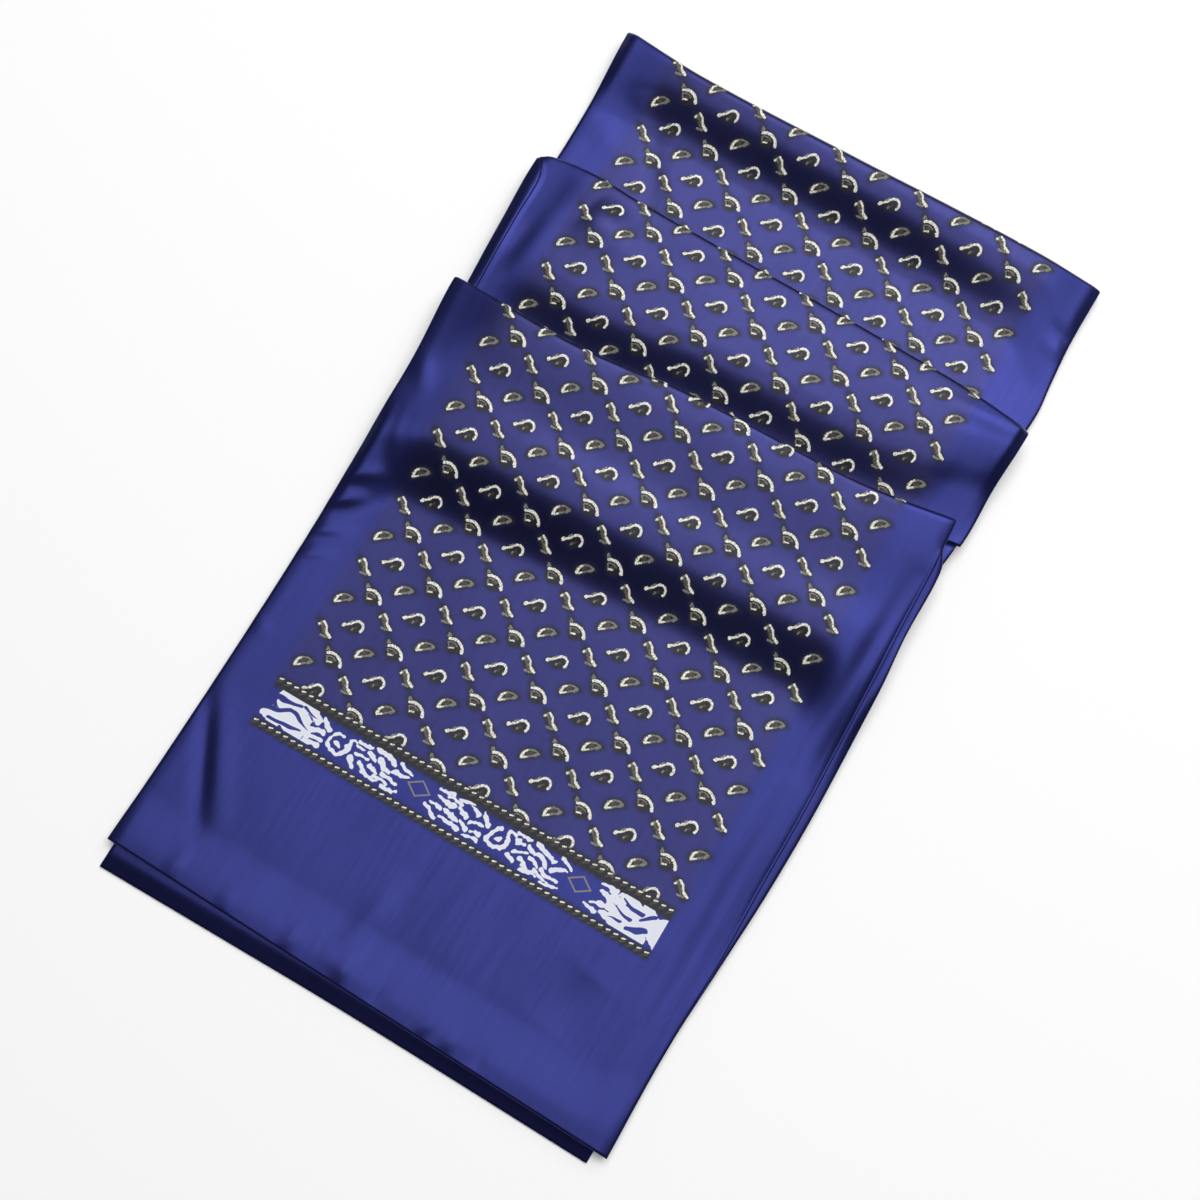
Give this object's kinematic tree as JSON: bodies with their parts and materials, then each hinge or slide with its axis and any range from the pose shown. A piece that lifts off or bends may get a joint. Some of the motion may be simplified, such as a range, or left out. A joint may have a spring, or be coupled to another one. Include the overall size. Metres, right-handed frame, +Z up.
{
  "type": "folded silk scarf",
  "caption": "Long double-layer satin scarf lying flat, folded to and fro in stepped tiers, with a small repeat print, a scroll border band and plain margins.",
  "frame": {"origin": "middle of the underside of the folded scarf, where it rests on a surface", "axes": "+X across the scarf, +Y along it from the two hems towards the rear fold, +Z up"},
  "size_m": [0.3098, 0.5398, 0.0208],
  "materials": {
    "printed_satin": "silk satin, printed face, soft sheen",
    "plain_satin": "silk satin, plain backing, soft sheen"
  },
  "bodies": {
    "root": {"front_leaf_face": "printed_satin", "front_leaf_backing": "plain_satin", "middle_leaf_face": "printed_satin", "middle_leaf_backing": "plain_satin", "rear_leaf_face": "printed_satin", "rear_leaf_backing": "plain_satin", "under_leaf_face": "printed_satin", "under_leaf_backing": "plain_satin", "hidden_layers": "plain_satin"}
  },
  "joints": []
}
